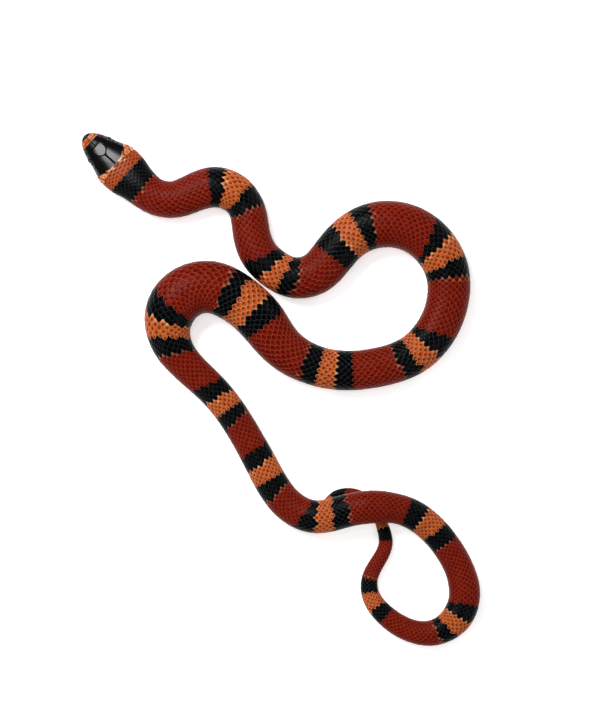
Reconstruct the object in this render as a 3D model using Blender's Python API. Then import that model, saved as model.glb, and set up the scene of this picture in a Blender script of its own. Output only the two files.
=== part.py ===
"""Milk snake lying at rest on the ground, life size, as a still museum model.

Metres, +Z up, floor at z = 0. The origin is on the floor under the middle of the animal.
The whole animal is one tube along a spine. A place on it is (s, a): s is the distance from
the snout tip along the spine, and a is the angle round the body, 0 at the back's middle line
and pi at the belly's. Cuts across the spine part it into head, neck, trunk and tail lengths.
"""
import math

import bmesh
import bpy
import numpy as np
from mathutils import Vector

MM = 0.001
GAP = 0.3 * MM

# The spine seen from above, in mm, from the snout tip to the tail tip.
HEAD_ROUTE = [(-109.0, 140.2), (-98.7, 131.0), (-88.4, 121.8)]
NECK_ROUTE = [(-78.2, 112.6), (-69.2, 106.4), (-58.7, 105.1), (-47.4, 109.1), (-36.6, 111.7)]
FIRST_BEND = [(-26.5, 108.6), (-19.4, 100.2), (-16.8, 87.5), (-12.5, 75.1), (-3.6, 66.4)]
FRONT_LOOP = [(7.4, 61.8), (19.4, 64.7), (28.4, 74.1), (36.7, 83.2), (46.6, 89.2), (59.6, 91.3),
              (72.4, 88.2), (85.2, 77.6), (91.6, 63.2), (91.0, 46.9), (85.2, 32.8), (72.1, 19.3)]
BACK_OF_LOOP = [(54.1, 12.7), (34.9, 10.7), (15.9, 14.4), (-0.7, 24.9), (-12.4, 39.7), (-23.9, 49.9)]
WIDE_BEND = [(-40.9, 56.7), (-56.0, 50.9), (-62.1, 39.3), (-60.2, 24.8), (-50.5, 11.9)]
REAR_REACH = [(-37.8, -0.2), (-28.2, -12.0), (-20.1, -24.8), (-12.6, -38.3), (-5.1, -52.1), (4.3, -63.7)]
REAR_LOOP = [(18.3, -69.8), (34.5, -66.6), (51.5, -64.1), (68.3, -66.8), (82.4, -76.1),
             (92.0, -87.7), (99.0, -101.5), (100.7, -115.5), (95.2, -127.3), (82.8, -134.2)]
TAIL_ROUTE = [(69.8, -132.4), (57.0, -124.2), (49.2, -113.3), (48.7, -104.5), (54.0, -93.7),
              (57.5, -85.1), (55.8, -75.6), (50.9, -64.7), (44.3, -58.7), (36.2, -56.6),
              (28.0, -58.7), (21.8, -64.8)]
ROUTE = (HEAD_ROUTE + NECK_ROUTE + FIRST_BEND + FRONT_LOOP + BACK_OF_LOOP + WIDE_BEND
         + REAR_REACH + REAR_LOOP + TAIL_ROUTE)

# Profile of the head, in mm: s, half width, top, underside, level of the widest line.
HEAD_PROFILE = [
    (0.0, 0.0, 5.4, 5.4, 5.4),
    (0.5, 2.0, 7.8, 3.2, 5.5),
    (1.2, 3.1, 8.6, 2.3, 5.4),
    (2.4, 4.4, 9.3, 1.6, 5.2),
    (4.4, 5.7, 10.1, 1.0, 5.0),
    (7.6, 7.3, 11.2, 0.6, 5.1),
    (11.0, 8.5, 12.3, 0.4, 5.4),
    (14.5, 9.4, 13.1, 0.25, 5.8),
    (18.2, 10.8, 13.8, 0.25, 6.2),
    (22.0, 12.4, 14.4, 0.25, 6.6),
    (28.0, 13.25, 15.2, 0.25, 7.2),
    (33.0, 12.8, 15.9, 0.25, 7.6),
]
# Half width of the body along the spine, in mm.
BODY_WIDTHS = [
    (41.0, 10.9), (52.0, 10.15), (63.0, 10.3), (75.0, 10.8), (86.0, 11.3), (96.0, 11.0),
    (107.0, 10.2), (120.0, 10.4), (146.0, 11.0), (171.0, 11.8), (195.0, 12.3), (220.0, 12.95),
    (250.0, 12.6), (282.0, 11.7), (316.0, 11.3), (336.0, 11.0), (374.0, 11.2), (394.0, 12.1),
    (413.0, 13.5), (428.0, 13.9), (447.0, 14.5), (463.0, 14.6), (476.0, 13.9), (490.0, 11.7),
    (507.0, 9.6), (524.0, 9.0), (555.0, 8.7), (586.0, 9.1), (616.0, 9.2), (650.0, 9.2),
    (667.0, 8.4), (684.0, 8.3), (699.0, 8.1), (714.0, 8.2), (728.0, 8.7), (741.0, 8.7),
    (756.0, 7.5), (769.0, 6.6), (784.0, 6.1), (797.0, 5.5), (806.0, 4.9), (818.0, 4.4),
    (837.0, 3.9), (849.0, 3.3), (859.0, 2.85), (868.0, 2.65), (877.0, 2.25), (884.0, 1.5),
]
HEIGHT_SHARE = 1.72      # height of the body over its half width
NECK_HEIGHT = {41.0: 0.90, 52.0: 0.985}   # share of that height where the neck leaves the head
WIDEST_SHARE = 0.82      # level of its widest line over its half width
PRESS = 0.5              # mm that the belly is pressed flat by on the floor
TIP_SECTION = (0.5, 0.9, 0.0, 0.45)       # the tail tip's half width, top, underside and widest level
SPINE_STEP = 0.25        # mm between the points that the spine is read at

# Exponents of the rounded section, above and below its widest line, along s in mm.
UPPER_ROUND = [(0.0, 2.1), (6.0, 2.35), (16.0, 2.6), (26.0, 2.4), (42.0, 2.1), (60.0, 2.1)]
LOWER_ROUND = [(0.0, 2.1), (10.0, 2.4), (30.0, 2.6), (60.0, 2.7)]

# Where the trunk arches over the tail, in mm along the spine.
ARCH_MIDDLE = 648.0
ARCH_HALF_LENGTH = 47.0
ARCH_RISE = 7.2

# Lengths of the animal, in mm along the spine.
HEAD_END = 38.0
LENGTHS = [("neck", 75.0), ("trunk_1", 133.0), ("trunk_2", 183.0), ("trunk_3", 245.0),
           ("trunk_4", 300.0), ("trunk_5", 375.0), ("trunk_6", 430.0), ("trunk_7", 476.0),
           ("trunk_8", 555.0), ("trunk_9", 634.0), ("trunk_10", 700.0), ("trunk_11", 762.0),
           ("tail_1", 806.0), ("tail_2", 845.0)]
RING_SIDES = 20
RING_PITCH = 6.2
TAIL_TIP_BACK = 0.25     # mm from the spine's end to the last ring

# The mouth line: level on the side of the head along s, in mm, and the groove between the lips.
MOUTH_LEVEL = [(0.0, 3.5), (5.0, 3.3), (12.0, 3.7), (18.0, 3.5), (23.0, 3.9), (27.5, 5.0)]
MOUTH_FRONT = 0.6        # mm from the snout tip to the groove's full depth
MOUTH_CORNER = 26.5
MOUTH_FADE = 2.5         # mm over which the groove ends at the corner
MOUTH_DEPTH = 0.5
LIP_ANGLE = 0.075
HEAD_RINGS = [0.18, 0.5, 0.95, 1.5, 2.3, 3.4, 4.6, 6.0, 7.5, 9.0, 10.5, 12.0, 13.5, 15.0, 16.6,
              18.2, 19.8, 21.4, 23.0, 24.7, 26.5, 28.4, 30.4, 32.6, 35.0]
UPPER_STEPS = 10
LOWER_STEPS = 4

# Eyes and nostrils, in mm.
EYE_S = 12.0
EYE_SIDE = 6.9
EYE_LEVEL = 7.9
EYE_RADIUS = 2.4
NOSTRIL_S = 3.3
NOSTRIL_LEVEL = 6.9
NOSTRIL_RADIUS = 0.5
NOSTRIL_DEPTH = 0.9

# Head shields of the right side, as outlines of (s in mm, angle from the middle line in degrees).
TOP_SHIELDS = {
    "internasal": [(1.7, 0.4), (1.7, 49), (2.9, 53), (4.2, 49), (4.4, 0.4)],
    "prefrontal": [(4.6, 0.4), (4.4, 50), (6.2, 58), (8.0, 53), (8.9, 22), (9.3, 0.4)],
    "supraocular": [(9.2, 24), (8.3, 52), (9.8, 54), (12.0, 57), (14.0, 55), (15.1, 47),
                    (15.3, 33), (14.0, 17), (11.8, 19)],
    "parietal": [(16.4, 0.4), (14.3, 15), (15.5, 32), (15.5, 47), (18.6, 51), (21.6, 40),
                 (24.0, 24), (25.0, 9), (24.4, 0.4)],
}
FRONTAL = [(9.5, 0), (9.3, 21), (11.6, 17), (13.8, 14), (16.2, 0), (13.8, -14), (11.6, -17),
           (9.3, -21)]
SIDE_SHIELDS = {
    "nasal": [(2.0, 56), (3.4, 58), (4.7, 54), (4.9, 81), (3.1, 85), (2.3, 85)],
    "loreal": [(5.1, 56), (6.2, 62), (7.3, 61), (7.3, 78), (5.1, 80)],
    "preocular": [(7.5, 60), (8.1, 57), (9.8, 57), (9.6, 77), (7.5, 78)],
    "upper_postocular": [(14.4, 58), (15.4, 52), (16.8, 54), (16.8, 66), (14.6, 65)],
    "lower_postocular": [(14.6, 67), (16.8, 68), (16.7, 82), (14.4, 80)],
    "first_temporal": [(17.1, 54), (18.8, 54), (21.3, 46), (21.7, 66), (21.3, 84), (17.0, 84)],
    "upper_temporal": [(21.6, 44), (23.6, 31), (25.2, 26), (26.0, 46), (22.0, 64)],
    "lower_temporal": [(22.0, 66), (26.0, 50), (26.4, 72), (21.7, 82)],
}
UPPER_LIP_JOINTS = [1.7, 4.5, 7.3, 10.2, 13.2, 16.4, 20.2, 24.8]
LOWER_LIP_JOINTS = [1.9, 3.6, 5.8, 8.2, 10.8, 13.6, 16.6, 20.0, 24.4]
LIP_PARTING = 2.6        # degrees from the mouth line to the lip shields
LIP_HEIGHT = 18.0        # degrees
LARGE_SHIELD = 3.2       # mm, reach beyond which a shield's face follows the head's curve
SHIELD_RISE = 0.32
SHIELD_ROOT = 0.55
SHIELD_GROOVE = 0.13     # half of the groove between two shields
ROSTRAL_END = 1.45       # mm from the snout tip to the back of the plate round it
ROSTRAL_ANGLE = 2.18     # and how far round the tip it reaches
ROSTRAL_EDGE = 0.3       # mm over which it rises from the tip
FINE_STEP = 0.15         # mm along, and radians round, between the points that give a normal
FINE_TURN = 0.02
FIRST_S = 0.01           # mm, nearest to the snout tip that a normal is read
TOP_LIMIT, UNDER_LIMIT = 0.999, 0.98      # how near a level may come to the top and the underside
CORNER_CUT = 0.2         # share of a shield's side that its rounded corner takes
LEAST_INSET = 0.2        # share of a shield's outline that stays when it is drawn in
SHARP = math.radians(35)

BODY_ROUGHNESS = 0.35
BRICK = (0.33, 0.045, 0.018)
BLACK = (0.010, 0.010, 0.013)


def smooth_curve(stations):
    """A smooth function through (x, y) stations that never overshoots them."""
    x, y = np.array(stations, float).T
    h, rise = np.diff(x), np.diff(y) / np.diff(x)
    slope = np.zeros(len(x))
    slope[0], slope[-1] = rise[0], rise[-1]
    same_way = rise[:-1] * rise[1:] > 0
    w1, w2 = 2 * h[1:] + h[:-1], h[1:] + 2 * h[:-1]
    with np.errstate(divide="ignore", invalid="ignore"):
        mean = (w1 + w2) / (w1 / rise[:-1] + w2 / rise[1:])
    slope[1:-1] = np.where(same_way, mean, 0.0)

    def value(at):
        at = min(max(at, x[0]), x[-1])
        i = min(int(np.searchsorted(x, at, side="right")) - 1, len(x) - 2)
        t = (at - x[i]) / h[i]
        low = y[i] * (1 + 2 * t) * (1 - t) ** 2 + slope[i] * h[i] * t * (1 - t) ** 2
        high = y[i + 1] * t * t * (3 - 2 * t) + slope[i + 1] * h[i] * t * t * (t - 1)
        return float(low + high)

    return value


def make_spine():
    """The route as a natural cubic spline: distance run, points and headings."""
    points = np.array(ROUTE)
    knots = np.r_[0, np.cumsum(np.hypot(*np.diff(points, axis=0).T))]
    h = np.diff(knots)
    n = len(points)
    system, right = np.eye(n), np.zeros((n, 2))
    for i in range(1, n - 1):
        system[i, i - 1:i + 2] = h[i - 1], 2 * (h[i - 1] + h[i]), h[i]
        right[i] = 6 * ((points[i + 1] - points[i]) / h[i] - (points[i] - points[i - 1]) / h[i - 1])
    bend = np.linalg.solve(system, right)
    fine = np.arange(0, knots[-1], SPINE_STEP)
    i = np.minimum(np.searchsorted(knots, fine, side="right") - 1, n - 2)
    a, b = ((knots[i + 1] - fine) / h[i])[:, None], ((fine - knots[i]) / h[i])[:, None]
    line = a * points[i] + b * points[i + 1]
    line += ((a ** 3 - a) * bend[i] + (b ** 3 - b) * bend[i + 1]) * (h[i] ** 2)[:, None] / 6
    run = np.r_[0, np.cumsum(np.hypot(*np.diff(line, axis=0).T))]
    heading = np.unwrap(np.arctan2(*np.gradient(line, axis=0).T[::-1]))
    return run, line, heading


RUN, LINE, HEADING = make_spine()
SPINE_LENGTH = float(RUN[-1])


def spine_at(s):
    """Point and direction of the spine at s, in mm."""
    heading = float(np.interp(s, RUN, HEADING))
    point = Vector((np.interp(s, RUN, LINE[:, 0]), np.interp(s, RUN, LINE[:, 1]), 0))
    return point, Vector((math.cos(heading), math.sin(heading), 0))


def make_profile():
    """Half width, top, underside and widest level as smooth functions of the root of s."""
    rows = list(HEAD_PROFILE)
    for s, half in BODY_WIDTHS:
        share = HEIGHT_SHARE * NECK_HEIGHT.get(s, 1.0)
        rows.append((s, half, share * half, 0.0, WIDEST_SHARE * half))
    rows.append((SPINE_LENGTH, *TIP_SECTION))
    table = np.array(rows)
    return [smooth_curve(np.c_[np.sqrt(table[:, 0]), table[:, i]]) for i in range(1, 5)]


PROFILE = make_profile()
UPPER_EXPONENT = smooth_curve(UPPER_ROUND)
LOWER_EXPONENT = smooth_curve(LOWER_ROUND)
MOUTH_AT = smooth_curve(MOUTH_LEVEL)


def arch_at(s):
    """How far the trunk is lifted off the floor at s, in mm."""
    share = abs(s - ARCH_MIDDLE) / ARCH_HALF_LENGTH
    return ARCH_RISE * math.cos(share * math.pi / 2) ** 2 if share < 1 else 0.0


def section(s, a):
    """Place on the section at s: distance to the right of the spine, and level, in mm."""
    half, top, under, widest = (f(math.sqrt(s)) for f in PROFILE)
    side, up = math.sin(a), math.cos(a)
    if up >= 0:
        power = 2 / UPPER_EXPONENT(s)
        x, z = half * abs(side) ** power, widest + (top - widest) * up ** power
    else:
        power = 2 / LOWER_EXPONENT(s)
        x, z = half * abs(side) ** power, widest - (widest - under) * (-up) ** power
    return math.copysign(x, side), max(z - PRESS, 0.0) + arch_at(s)


def place(s, a, rise=0.0):
    """Point on the animal's surface in mm, raised along the surface's normal."""
    point, ahead = spine_at(s)
    right = Vector((ahead.y, -ahead.x, 0))
    x, z = section(s, a)
    spot = point + right * x + Vector((0, 0, z))
    if rise:
        spot += surface_normal(s, a) * rise
    return spot


def surface_normal(s, a):
    along = place(s + FINE_STEP, a) - place(max(s - FINE_STEP, FIRST_S), a)
    around = place(s, a + FINE_TURN) - place(s, a - FINE_TURN)
    return around.cross(along).normalized()


def angle_of_level(s, level):
    """Angle on the right side at a level."""
    half, top, under, widest = (f(math.sqrt(s)) for f in PROFILE)
    level += PRESS
    if level >= widest:
        share = min((level - widest) / (top - widest), TOP_LIMIT)
        return math.acos(share ** (UPPER_EXPONENT(s) / 2))
    share = min((widest - level) / (widest - under), UNDER_LIMIT)
    return math.pi - math.acos(share ** (LOWER_EXPONENT(s) / 2))


def finish(name, bm, colour, roughness):
    """An object from a mesh in mm, with its own material."""
    bmesh.ops.scale(bm, vec=(MM, MM, MM), verts=bm.verts)
    bmesh.ops.triangulate(bm, faces=bm.faces)
    bmesh.ops.recalc_face_normals(bm, faces=bm.faces)
    mesh = bpy.data.meshes.new(name)
    bm.to_mesh(mesh)
    bm.free()
    mesh.shade_smooth()
    mesh.set_sharp_from_angle(angle=SHARP)
    material = bpy.data.materials.new(name)
    material.use_nodes = True
    shader = material.node_tree.nodes["Principled BSDF"]
    shader.inputs["Base Color"].default_value = (*colour, 1)
    shader.inputs["Roughness"].default_value = roughness
    mesh.materials.append(material)
    obj = bpy.data.objects.new(name, mesh)
    bpy.context.scene.collection.objects.link(obj)
    return obj


def join_rings(bm, rings):
    """Quads from each ring of vertices to the next."""
    for front, back in zip(rings, rings[1:]):
        for i in range(len(front)):
            j = (i + 1) % len(front)
            bm.faces.new((front[i], front[j], back[j], back[i]))


def body_ring(bm, s, shift=0.0):
    """A ring of vertices round the body at s, moved along the spine's direction there."""
    _, ahead = spine_at(s)
    angles = [2 * math.pi * i / RING_SIDES for i in range(RING_SIDES)]
    return [bm.verts.new(place(s, a) + ahead * shift) for a in angles]


def body_length(name, start, end, colour):
    """One length of neck, trunk or tail, with flat ends square to the spine."""
    bm = bmesh.new()
    half_gap = GAP / MM / 2
    last = end is None
    stop = SPINE_LENGTH - TAIL_TIP_BACK if last else end
    count = max(2, round((stop - start) / RING_PITCH))
    between = [start + (stop - start) * i / count for i in range(1, count)]
    rings = [body_ring(bm, start, half_gap)]
    rings += [body_ring(bm, s) for s in between]
    rings.append(body_ring(bm, stop, 0 if last else -half_gap))
    join_rings(bm, rings)
    bm.faces.new(rings[0])
    bm.faces.new(rings[-1][::-1])
    return finish(name, bm, colour, BODY_ROUGHNESS)


def head_ring(bm, s, shift=0.0):
    """A ring round the head whose vertices follow the mouth line and the lips beside it."""
    top_end = min(angle_of_level(s, MOUTH_AT(s)), math.pi - 3 * LIP_ANGLE)
    upper = [(top_end - LIP_ANGLE) * i / UPPER_STEPS for i in range(UPPER_STEPS + 1)]
    low_start = top_end + LIP_ANGLE
    lower = [low_start + (math.pi - low_start) * i / LOWER_STEPS for i in range(LOWER_STEPS + 1)]
    half_ring = upper + [top_end] + lower
    fade = min(s / MOUTH_FRONT, 1) * min(max((MOUTH_CORNER - s) / MOUTH_FADE, 0), 1)
    _, ahead = spine_at(s)
    ring = []
    for side in (1, -1):
        for i, a in enumerate(half_ring):
            if side < 0 and i in (0, len(half_ring) - 1):
                continue
            in_groove = i == UPPER_STEPS + 1 or (s < MOUTH_FRONT and a > top_end)
            rise = -MOUTH_DEPTH * fade if in_groove else 0.0
            if s < ROSTRAL_END and a < ROSTRAL_ANGLE:
                rise += SHIELD_RISE * min(1.0, s / ROSTRAL_EDGE)
            ring.append((side * a, bm.verts.new(place(s, side * a, rise) + ahead * shift)))
    ring.sort(key=lambda pair: pair[0] % (2 * math.pi))
    return [v for _, v in ring]


def head_core():
    bm = bmesh.new()
    rings = [head_ring(bm, s) for s in HEAD_RINGS]
    rings.append(head_ring(bm, HEAD_END, -GAP / MM / 2))
    join_rings(bm, rings)
    tip = bm.verts.new(place(0.0, 0.0) - spine_at(0)[1] * SHIELD_RISE)
    for v, w in zip(rings[0], rings[0][1:] + rings[0][:1]):
        bm.faces.new((tip, w, v))
    bm.faces.new(rings[-1][::-1])
    return bm


def rounded(outline):
    """The outline with its corners cut, as a loop."""
    points = []
    for p, q in zip(outline, outline[1:] + outline[:1]):
        for share in (CORNER_CUT, 1 - CORNER_CUT):
            points.append(tuple(c * (1 - share) + d * share for c, d in zip(p, q)))
    return points


def drawn_in(points, middle, inset):
    """The loop drawn in towards its middle by inset."""
    loop = []
    for x, y in points:
        dx, dy = x - middle[0], y - middle[1]
        keep = max(1 - inset / math.hypot(dx, dy), LEAST_INSET)
        loop.append((middle[0] + dx * keep, middle[1] + dy * keep))
    return loop


def add_shield(bm, outline, side=1):
    """A shield as a closed plate: its root sunk in the head, its face raised over it."""
    s_middle = sum(s for s, _ in outline) / len(outline)
    girth = PROFILE[0](math.sqrt(s_middle))
    flat = rounded([(s, math.radians(a) * girth) for s, a in outline])
    middle = tuple(sum(c) / len(flat) for c in zip(*flat))
    foot = drawn_in(flat, middle, SHIELD_GROOVE)
    rim = drawn_in(flat, middle, 2 * SHIELD_GROOVE)
    reach = max(math.hypot(x - middle[0], y - middle[1]) for x, y in rim)

    def ring(loop, rise):
        return [bm.verts.new(place(s, side * y / girth, rise)) for s, y in loop]

    rings = [ring(foot, -SHIELD_ROOT), ring(rim, SHIELD_RISE)]
    if reach > LARGE_SHIELD:
        rings.append(ring(drawn_in(rim, middle, reach / 2), SHIELD_RISE))
    centre = ring([middle], SHIELD_RISE)[0]
    base = ring([middle], -SHIELD_ROOT)[0]
    join_rings(bm, rings)
    for i in range(len(foot)):
        j = (i + 1) % len(foot)
        bm.faces.new((rings[-1][i], rings[-1][j], centre))
        bm.faces.new((rings[0][j], rings[0][i], base))


def lip_shields(joints, direction):
    """Outlines of the shields along one lip: direction is -1 for the upper lip, 1 for the lower."""
    for front, back in zip(joints, joints[1:]):
        near, far = [], []
        for s in (front, back):
            mouth = math.degrees(angle_of_level(s, MOUTH_AT(s)))
            near.append((s, mouth + direction * LIP_PARTING))
            far.append((s, mouth + direction * (LIP_PARTING + LIP_HEIGHT)))
        yield near + far[::-1]


def shield_plates():
    """All raised plates of the head in one mesh, none touching another."""
    bm = bmesh.new()
    add_shield(bm, FRONTAL)
    outlines = list(TOP_SHIELDS.values()) + list(SIDE_SHIELDS.values())
    outlines += list(lip_shields(UPPER_LIP_JOINTS, -1)) + list(lip_shields(LOWER_LIP_JOINTS, 1))
    for side in (1, -1):
        for outline in outlines:
            add_shield(bm, outline, side)
    return bm


def beside_head(s, side_distance, level):
    """Point beside the head's middle line, in mm; a positive distance is the right side."""
    point, ahead = spine_at(s)
    return point + Vector((ahead.y, -ahead.x, 0)) * side_distance + Vector((0, 0, level))


def eye_ball(radius, side, subdivisions):
    bm = bmesh.new()
    bmesh.ops.create_icosphere(bm, subdivisions=subdivisions, radius=radius)
    bmesh.ops.translate(bm, verts=bm.verts, vec=beside_head(EYE_S, side * EYE_SIDE, EYE_LEVEL))
    return bm


def nostril_pit(side):
    """A short round pit into the nasal shield."""
    a = side * angle_of_level(NOSTRIL_S, NOSTRIL_LEVEL)
    bm = bmesh.new()
    bmesh.ops.create_cone(bm, cap_ends=True, segments=8, radius1=NOSTRIL_RADIUS * 0.6,
                          radius2=NOSTRIL_RADIUS, depth=2 * NOSTRIL_DEPTH)
    turn = surface_normal(NOSTRIL_S, a).to_track_quat("Z", "Y")
    bmesh.ops.rotate(bm, verts=bm.verts, cent=(0, 0, 0), matrix=turn.to_matrix())
    bmesh.ops.translate(bm, verts=bm.verts, vec=place(NOSTRIL_S, a))
    return bm


def combine(target, operation, tools):
    """One Boolean of a collection of closed tools on the target, applied and cleared away."""
    group = bpy.data.collections.new(operation.lower() + "_tools")
    for tool in tools:
        group.objects.link(tool)
    modifier = target.modifiers.new(operation.lower(), "BOOLEAN")
    modifier.operation = operation
    modifier.operand_type = "COLLECTION"
    modifier.collection = group
    bpy.context.view_layer.update()
    result = bpy.data.meshes.new_from_object(target.evaluated_get(bpy.context.evaluated_depsgraph_get()))
    target.modifiers.clear()
    target.data = result
    for tool in tools:
        bpy.data.objects.remove(tool)
    bpy.data.collections.remove(group)


def keep_largest(obj):
    """Drops loose scraps and sealed hollows: only the largest closed surface stays."""
    bm = bmesh.new()
    bm.from_mesh(obj.data)
    bmesh.ops.remove_doubles(bm, verts=bm.verts, dist=0.000002)
    left, groups = set(bm.faces), []
    while left:
        queue, group = [left.pop()], []
        while queue:
            face = queue.pop()
            group.append(face)
            for edge in face.edges:
                for other in edge.link_faces:
                    if other in left:
                        left.remove(other)
                        queue.append(other)
        groups.append(group)
    largest = max(groups, key=len)
    scraps = [f for group in groups if group is not largest for f in group]
    bmesh.ops.delete(bm, geom=scraps, context="FACES")
    bmesh.ops.triangulate(bm, faces=bm.faces)
    bm.to_mesh(obj.data)
    bm.free()


def make_head():
    head = finish("head", head_core(), BLACK, 0.2)
    plates = finish("shield_plates", shield_plates(), BLACK, 0.2)
    combine(head, "UNION", [plates])
    cutters = []
    for side in (1, -1):
        cutters.append(finish("socket", eye_ball(EYE_RADIUS + GAP / MM, side, 3), BLACK, 0.2))
        cutters.append(finish("nostril", nostril_pit(side), BLACK, 0.2))
    combine(head, "DIFFERENCE", cutters)
    keep_largest(head)
    head.data.shade_smooth()
    head.data.set_sharp_from_angle(angle=SHARP)


def make_snake():
    make_head()
    finish("eye_right", eye_ball(EYE_RADIUS, 1, 2), BLACK, 0.05)
    finish("eye_left", eye_ball(EYE_RADIUS, -1, 2), BLACK, 0.05)
    start = HEAD_END
    for name, end in LENGTHS:
        body_length(name, start, end, BRICK)
        start = end
    body_length("tail_3", start, None, BRICK)


for old in list(bpy.data.objects):
    bpy.data.objects.remove(old)
make_snake()
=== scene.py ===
"""Milk snake lying at rest on a pale floor, life size: the skin, shields, scales, belly plates and eyes.

Lengths are in mm until a mesh is made. A place on the animal is (s, a): s is the distance from the
snout tip along the spine, and a is the angle round the body, 0 at the back's middle line, positive on
the animal's right side of the route, and pi at the belly's middle line.
"""

import bpy
import numpy as np
from mathutils import Matrix, Vector


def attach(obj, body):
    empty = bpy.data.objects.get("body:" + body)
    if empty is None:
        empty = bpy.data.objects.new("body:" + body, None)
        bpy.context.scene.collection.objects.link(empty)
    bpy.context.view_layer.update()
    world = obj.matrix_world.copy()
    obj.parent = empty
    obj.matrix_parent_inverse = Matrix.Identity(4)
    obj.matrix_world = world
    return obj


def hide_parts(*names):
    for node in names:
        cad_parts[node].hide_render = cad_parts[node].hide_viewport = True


MM = 0.001
rng = np.random.default_rng(41)

# The spine seen from above, in mm, from the snout tip to the tail tip, as in the solids.
HEAD_ROUTE = [(-109.0, 140.2), (-98.7, 131.0), (-88.4, 121.8)]
NECK_ROUTE = [(-78.2, 112.6), (-69.2, 106.4), (-58.7, 105.1), (-47.4, 109.1), (-36.6, 111.7)]
FIRST_BEND = [(-26.5, 108.6), (-19.4, 100.2), (-16.8, 87.5), (-12.5, 75.1), (-3.6, 66.4)]
FRONT_LOOP = [(7.4, 61.8), (19.4, 64.7), (28.4, 74.1), (36.7, 83.2), (46.6, 89.2), (59.6, 91.3),
              (72.4, 88.2), (85.2, 77.6), (91.6, 63.2), (91.0, 46.9), (85.2, 32.8), (72.1, 19.3)]
BACK_OF_LOOP = [(54.1, 12.7), (34.9, 10.7), (15.9, 14.4), (-0.7, 24.9), (-12.4, 39.7), (-23.9, 49.9)]
WIDE_BEND = [(-40.9, 56.7), (-56.0, 50.9), (-62.1, 39.3), (-60.2, 24.8), (-50.5, 11.9)]
REAR_REACH = [(-37.8, -0.2), (-28.2, -12.0), (-20.1, -24.8), (-12.6, -38.3), (-5.1, -52.1), (4.3, -63.7)]
REAR_LOOP = [(18.3, -69.8), (34.5, -66.6), (51.5, -64.1), (68.3, -66.8), (82.4, -76.1),
             (92.0, -87.7), (99.0, -101.5), (100.7, -115.5), (95.2, -127.3), (82.8, -134.2)]
TAIL_ROUTE = [(69.8, -132.4), (57.0, -124.2), (49.2, -113.3), (48.7, -104.5), (54.0, -93.7),
              (57.5, -85.1), (55.8, -75.6), (50.9, -64.7), (44.3, -58.7), (36.2, -56.6),
              (28.0, -58.7), (21.8, -64.8)]
ROUTE = (HEAD_ROUTE + NECK_ROUTE + FIRST_BEND + FRONT_LOOP + BACK_OF_LOOP + WIDE_BEND
         + REAR_REACH + REAR_LOOP + TAIL_ROUTE)

# Profile of the head, in mm: s, half width, top, underside, level of the widest line.
HEAD_PROFILE = [
    (0.0, 0.0, 5.4, 5.4, 5.4),
    (0.5, 2.0, 7.8, 3.2, 5.5),
    (1.2, 3.1, 8.6, 2.3, 5.4),
    (2.4, 4.4, 9.3, 1.6, 5.2),
    (4.4, 5.7, 10.1, 1.0, 5.0),
    (7.6, 7.3, 11.2, 0.6, 5.1),
    (11.0, 8.5, 12.3, 0.4, 5.4),
    (14.5, 9.4, 13.1, 0.25, 5.8),
    (18.2, 10.8, 13.8, 0.25, 6.2),
    (22.0, 12.4, 14.4, 0.25, 6.6),
    (28.0, 13.25, 15.2, 0.25, 7.2),
    (33.0, 12.8, 15.9, 0.25, 7.6),
]
# Half width of the body along the spine, in mm.
BODY_WIDTHS = [
    (41.0, 10.9), (52.0, 10.15), (63.0, 10.3), (75.0, 10.8), (86.0, 11.3), (96.0, 11.0),
    (107.0, 10.2), (120.0, 10.4), (146.0, 11.0), (171.0, 11.8), (195.0, 12.3), (220.0, 12.95),
    (250.0, 12.6), (282.0, 11.7), (316.0, 11.3), (336.0, 11.0), (374.0, 11.2), (394.0, 12.1),
    (413.0, 13.5), (428.0, 13.9), (447.0, 14.5), (463.0, 14.6), (476.0, 13.9), (490.0, 11.7),
    (507.0, 9.6), (524.0, 9.0), (555.0, 8.7), (586.0, 9.1), (616.0, 9.2), (650.0, 9.2),
    (667.0, 8.4), (684.0, 8.3), (699.0, 8.1), (714.0, 8.2), (728.0, 8.7), (741.0, 8.7),
    (756.0, 7.5), (769.0, 6.6), (784.0, 6.1), (797.0, 5.5), (806.0, 4.9), (818.0, 4.4),
    (837.0, 3.9), (849.0, 3.3), (859.0, 2.85), (868.0, 2.65), (877.0, 2.25), (884.0, 1.5),
]
HEIGHT_SHARE = 1.72
NECK_HEIGHT = {41.0: 0.90, 52.0: 0.985}   # share of that height where the neck leaves the head
WIDEST_SHARE = 0.82
PRESS = 0.5              # mm that the belly is pressed flat by
TIP_SECTION = (0.5, 0.9, 0.0, 0.45)       # the tail tip's half width, top, underside and widest level
SPINE_STEP = 0.25        # mm between the points that the spine is read at
FINE_STEP, FINE_TURN = 0.15, 0.02         # mm and radians between the points that give a normal
FIRST_S = 0.01           # mm, nearest to the snout tip that a normal is read
TOP_LIMIT, UNDER_LIMIT = 0.999, 0.98      # how near a level may come to the top and the underside
# Exponents of the rounded section, above and below its widest line, along s in mm.
UPPER_ROUND = [(0.0, 2.1), (6.0, 2.35), (16.0, 2.6), (26.0, 2.4), (42.0, 2.1), (60.0, 2.1)]
LOWER_ROUND = [(0.0, 2.1), (10.0, 2.4), (30.0, 2.6), (60.0, 2.7)]
# Where the trunk arches over the tail, in mm along the spine.
ARCH_MIDDLE = 648.0
ARCH_HALF_LENGTH = 47.0
ARCH_RISE = 7.2
FLOOR_CLEARANCE = 0.02

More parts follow.
